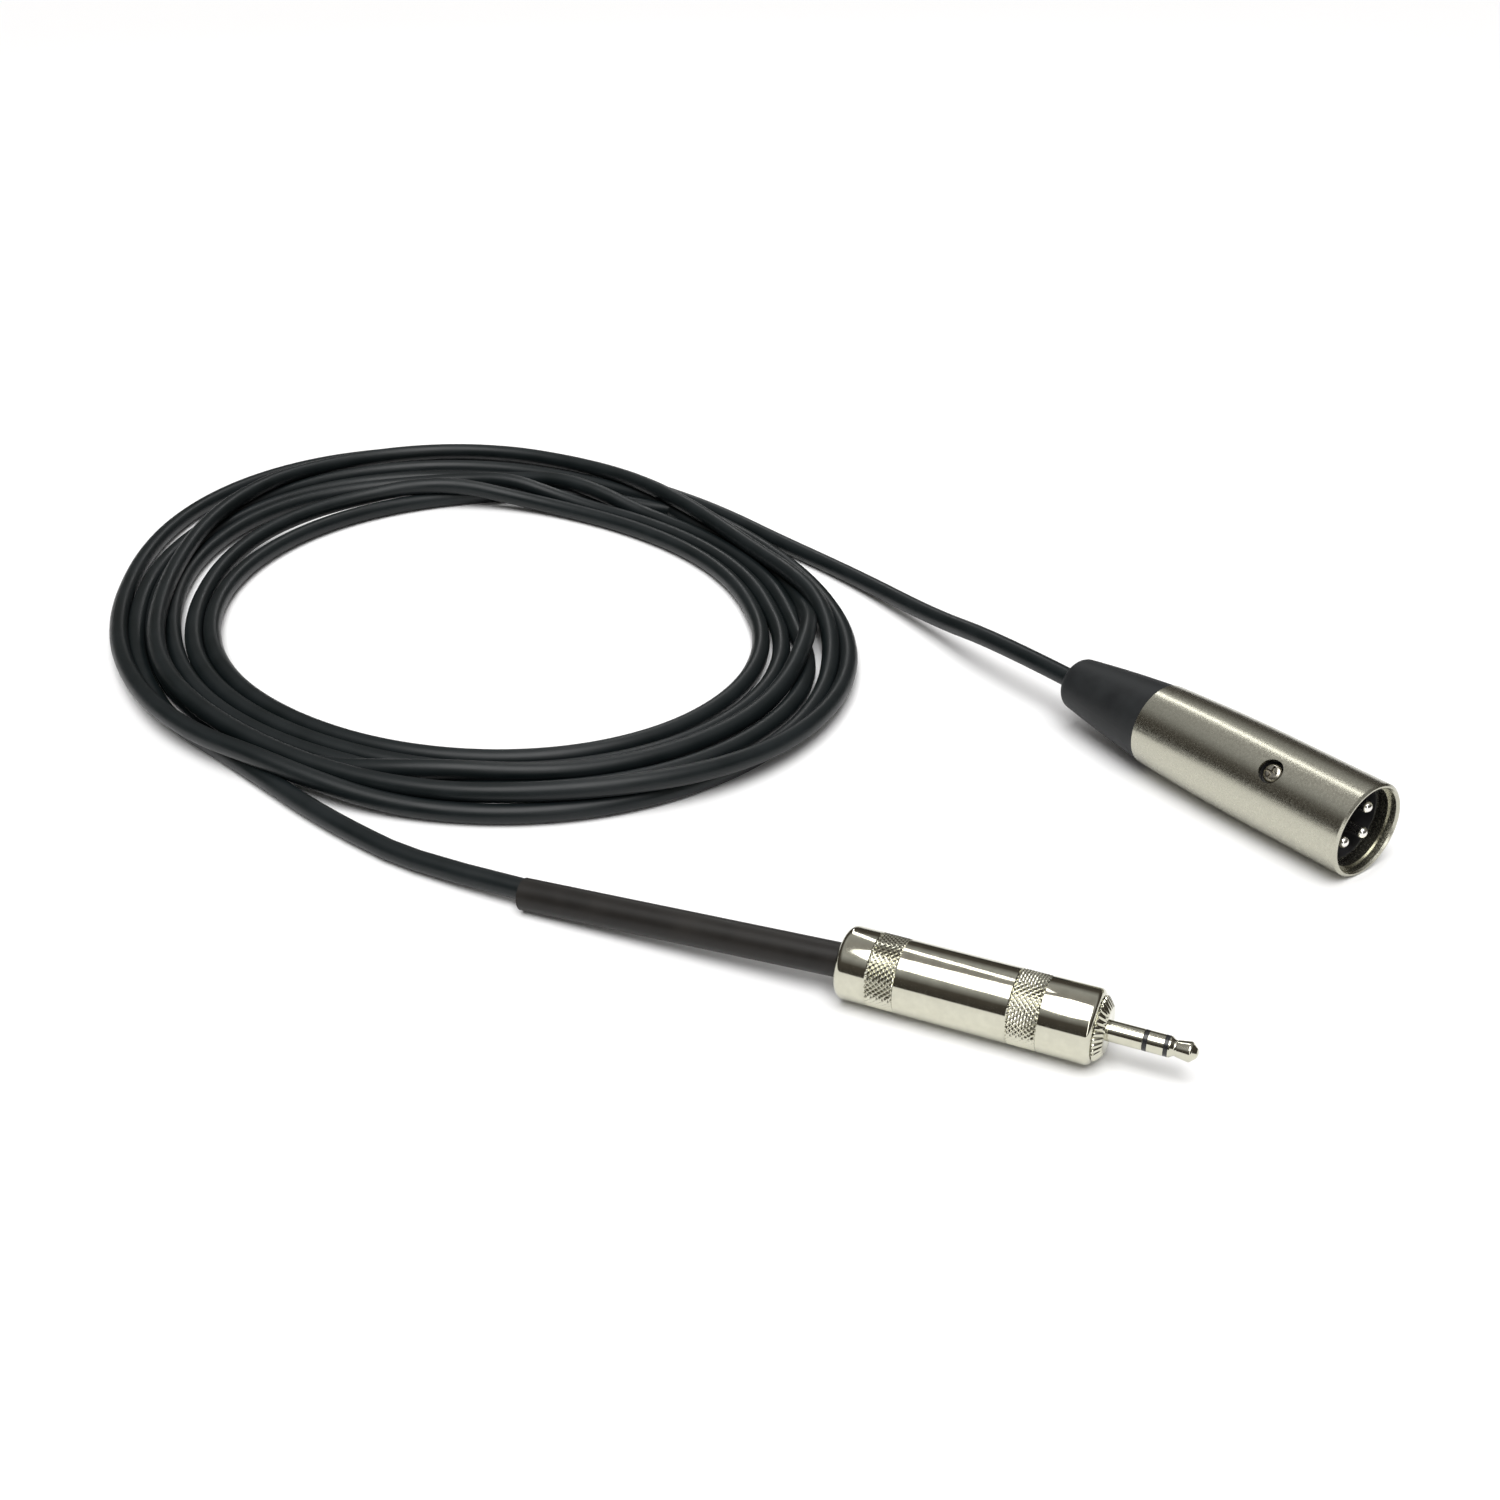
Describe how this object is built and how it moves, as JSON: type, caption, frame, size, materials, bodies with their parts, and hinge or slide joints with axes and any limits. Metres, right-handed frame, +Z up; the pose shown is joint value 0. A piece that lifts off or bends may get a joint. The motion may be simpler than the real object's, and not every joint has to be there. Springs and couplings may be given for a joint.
{
  "type": "microphone cable",
  "caption": "Coiled black audio cable with a male XLR connector at one end and a small jack plug with a screw-on barrel at the other.",
  "frame": {"origin": "on the floor, under the middle of the box round the whole cable as it lies coiled", "axes": "+Z up; -Y out of the mouth of the three-pin connector; +Y along the longest extent, from the connectors to the coil"},
  "size_m": [0.166, 0.3306, 0.019],
  "materials": {
    "satin_nickel": "cast shell, satin nickel plate with a fine even grain",
    "bright_nickel": "turned brass with bright nickel plate",
    "silver_contact": "turned brass contact, silver plated",
    "zinc_steel": "small zinc plated steel fasteners and strips",
    "insert_black": "moulded black nylon",
    "boot_rubber": "matt black rubber",
    "cable_rubber": "matt black cable jacket, slightly blue",
    "sleeving_black": "shrunk black tubing, faint sheen",
    "band_black": "black insulating bands of the finger",
    "liner_clear": "milky insulating tube",
    "washer_fibre": "brown fibre washers",
    "wire_red": "red conductor insulation",
    "wire_white": "white conductor insulation",
    "wire_copper": "twisted bare copper screen"
  },
  "bodies": {
    "cable": {"xlr_shell": "satin_nickel", "xlr_insert": "insert_black", "xlr_pin_1": "silver_contact", "xlr_pin_2": "silver_contact", "xlr_pin_3": "silver_contact", "xlr_lock_screw": "zinc_steel", "xlr_lock_nut": "zinc_steel", "xlr_ground_spring": "zinc_steel", "xlr_clamp_upper": "zinc_steel", "xlr_clamp_lower": "zinc_steel", "xlr_clamp_screw_1": "zinc_steel", "xlr_clamp_screw_2": "zinc_steel", "xlr_boot": "boot_rubber", "xlr_wire_1": "wire_copper", "xlr_wire_2": "wire_red", "xlr_wire_3": "wire_white", "cable_tail_xlr": "cable_rubber", "cable_lead_xlr": "cable_rubber", "cable_coil": "cable_rubber", "cable_lead_plug": "cable_rubber", "cable_tail_plug": "cable_rubber", "cable_sleeving": "sleeving_black", "plug_tip": "bright_nickel", "plug_ring": "bright_nickel", "plug_body": "bright_nickel", "plug_tip_insulator": "band_black", "plug_ring_insulator": "band_black", "plug_washer_front": "washer_fibre", "plug_washer_rear": "washer_fibre", "plug_ring_tag": "silver_contact", "plug_tip_tag": "silver_contact", "plug_cord_clamp": "silver_contact", "plug_wire_tip": "wire_red", "plug_wire_ring": "wire_white", "plug_wire_shield": "wire_copper"},
    "liner": {"plug_liner": "liner_clear"},
    "barrel": {"plug_barrel": "bright_nickel"}
  },
  "joints": [
    {"name": "liner_slide", "type": "slide", "parent": "cable", "child": "liner", "axis": [-0.4795, 0.8776, 0], "range_m": [0, 0.006]},
    {"name": "barrel_turn", "type": "hinge", "parent": "liner", "child": "barrel", "pos_m": [-0.0044, -0.1523, 0.00635], "axis": [-0.4795, 0.8776, 0], "range_deg": [0, 2880]}
  ],
  "couplings": [
    {"joint": "liner_slide", "follows": "barrel_turn", "m_per_rad": 0.00011936}
  ]
}
